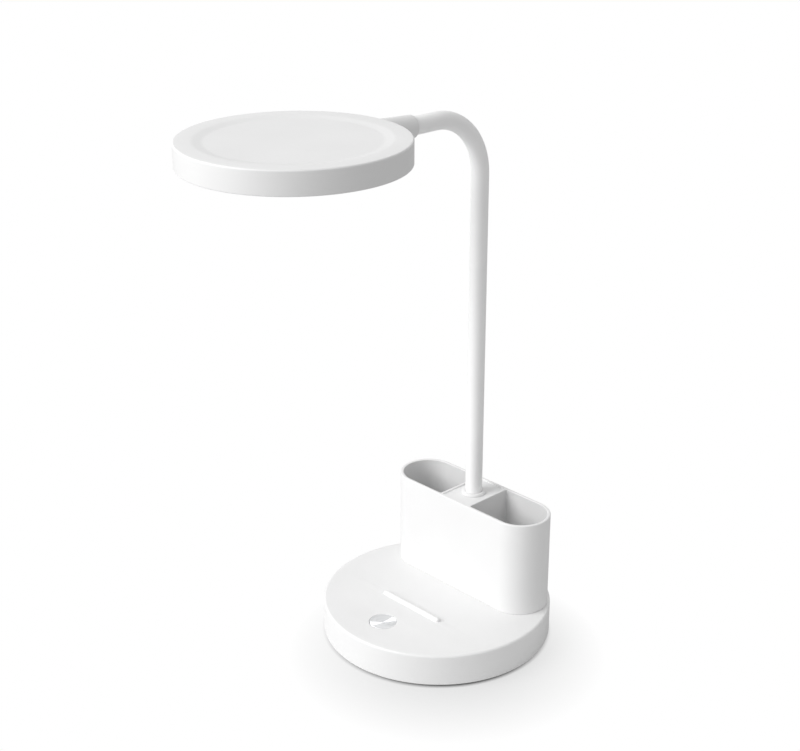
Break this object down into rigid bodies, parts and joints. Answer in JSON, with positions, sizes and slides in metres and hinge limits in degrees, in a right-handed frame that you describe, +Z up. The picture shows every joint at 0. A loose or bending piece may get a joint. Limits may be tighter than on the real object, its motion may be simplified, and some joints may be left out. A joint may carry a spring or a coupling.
{
  "type": "desk lamp with pen pot",
  "caption": "Desk lamp: flat round light head on a bendable gooseneck that rises from a pen pot with two open compartments, on a round weighted base with a touch key and a phone ledge.",
  "frame": {"origin": "centre of the round foot pad, on the surface that the lamp stands on", "axes": "+Z up; +X along the pen pot; the head reaches out towards -Y, which is the front"},
  "size_m": [0.14, 0.2362, 0.3279],
  "materials": {
    "housing": "fine satin moulding",
    "silicone": "smooth matte silicone",
    "foot_rubber": "matte",
    "ballast_steel": "stamped, zinc plated",
    "screw_steel": "zinc plated",
    "key_metal": "spun, fine circular brushing",
    "foam": "conductive foam",
    "board_laminate": "solder mask over glass laminate",
    "plug_shell": "pressed, bright",
    "cell_foil": "satin pouch foil",
    "lead_jacket": "satin vinyl",
    "ferrule_brass": "turned",
    "neck_steel": "rolled",
    "led_aluminium": "white solder mask over aluminium",
    "led_resin": "phosphor resin",
    "reflector_white": "gloss white moulding",
    "opal": "frosted opal sheet"
  },
  "bodies": {
    "base": {"base_shell": "housing", "bottom_cover": "housing", "antislip_pad": "foot_rubber", "ballast_plate": "ballast_steel", "base_screws": "screw_steel", "touch_key": "key_metal", "touch_contact": "foam", "touch_board": "board_laminate", "charge_board": "board_laminate", "board_screws": "screw_steel", "usb_inlet": "plug_shell", "battery_pack": "cell_foil", "battery_lead": "lead_jacket", "touch_lead": "lead_jacket", "lamp_lead": "lead_jacket", "pen_pot": "housing", "neck_collar": "silicone", "neck_ferrule": "ferrule_brass", "neck_nut": "ferrule_brass", "neck_link_0": "neck_steel", "neck_sleeve_0": "silicone", "neck_wire_0": "lead_jacket"},
    "neck_1": {"neck_link_1": "neck_steel", "neck_sleeve_1": "silicone", "neck_wire_1": "lead_jacket"},
    "neck_2": {"neck_link_2": "neck_steel", "neck_sleeve_2": "silicone", "neck_wire_2": "lead_jacket"},
    "neck_3": {"neck_link_3": "neck_steel", "neck_sleeve_3": "silicone", "neck_wire_3": "lead_jacket"},
    "neck_4": {"neck_link_4": "neck_steel", "neck_sleeve_4": "silicone", "neck_wire_4": "lead_jacket"},
    "neck_5": {"neck_link_5": "neck_steel", "neck_sleeve_5": "silicone", "neck_wire_5": "lead_jacket"},
    "neck_6": {"neck_link_6": "neck_steel", "neck_sleeve_6": "silicone", "neck_wire_6": "lead_jacket"},
    "neck_7": {"neck_link_7": "neck_steel", "neck_sleeve_7": "silicone", "neck_wire_7": "lead_jacket"},
    "neck_8": {"neck_link_8": "neck_steel", "neck_sleeve_8": "silicone", "neck_wire_8": "lead_jacket"},
    "head": {"head_shell": "housing", "led_board": "led_aluminium", "led_chips": "led_resin", "led_screws": "screw_steel", "reflector": "reflector_white", "diffuser": "opal", "diffuser_ring": "housing", "head_ferrule": "ferrule_brass", "head_clip": "screw_steel", "head_lead": "lead_jacket", "neck_link_9": "neck_steel", "neck_sleeve_9": "silicone", "neck_wire_9": "lead_jacket"}
  },
  "joints": [
    {"name": "lean_1", "type": "hinge", "parent": "base", "child": "neck_1", "pos_m": [0, 0.0315, 0.096], "axis": [1, 0, 0], "range_deg": [-12, 12], "deforming": ["neck_sleeve_0", "neck_sleeve_1"]},
    {"name": "sway_1", "type": "hinge", "parent": "neck_1", "child": "neck_2", "pos_m": [0, 0.0315, 0.13348], "axis": [0, 1, 0], "range_deg": [-12, 12], "deforming": ["neck_sleeve_1", "neck_sleeve_2"]},
    {"name": "lean_2", "type": "hinge", "parent": "neck_2", "child": "neck_3", "pos_m": [0, 0.0315, 0.17096], "axis": [1, 0, 0], "range_deg": [-12, 12], "deforming": ["neck_sleeve_2", "neck_sleeve_3"]},
    {"name": "sway_2", "type": "hinge", "parent": "neck_3", "child": "neck_4", "pos_m": [0, 0.0315, 0.20844], "axis": [0, 1, 0], "range_deg": [-12, 12], "deforming": ["neck_sleeve_3", "neck_sleeve_4"]},
    {"name": "lean_3", "type": "hinge", "parent": "neck_4", "child": "neck_5", "pos_m": [0, 0.0315, 0.24592], "axis": [1, 0, 0], "range_deg": [-12, 12], "deforming": ["neck_sleeve_4", "neck_sleeve_5"]},
    {"name": "nod_1", "type": "hinge", "parent": "neck_5", "child": "neck_6", "pos_m": [0, 0.0315, 0.2834], "axis": [1, 0, 0], "range_deg": [-20, 15], "deforming": ["neck_sleeve_5", "neck_sleeve_6"]},
    {"name": "nod_2", "type": "hinge", "parent": "neck_6", "child": "neck_7", "pos_m": [0, 0.0266, 0.3017], "axis": [1, 0, 0], "range_deg": [-20, 15], "deforming": ["neck_sleeve_6", "neck_sleeve_7"]},
    {"name": "nod_3", "type": "hinge", "parent": "neck_7", "child": "neck_8", "pos_m": [0, 0.0132, 0.3151], "axis": [1, 0, 0], "range_deg": [-20, 15], "deforming": ["neck_sleeve_7", "neck_sleeve_8"]},
    {"name": "nod_4", "type": "hinge", "parent": "neck_8", "child": "head", "pos_m": [0, -0.0051, 0.32], "axis": [1, 0, 0], "range_deg": [-20, 15], "deforming": ["neck_sleeve_8", "neck_sleeve_9"]}
  ],
  "couplings": [
    {"joint": "lean_2", "follows": "lean_1", "ratio": 1},
    {"joint": "lean_3", "follows": "lean_1", "ratio": 1},
    {"joint": "sway_2", "follows": "sway_1", "ratio": 1},
    {"joint": "nod_2", "follows": "nod_1", "ratio": 1},
    {"joint": "nod_3", "follows": "nod_1", "ratio": 1},
    {"joint": "nod_4", "follows": "nod_1", "ratio": 1}
  ]
}
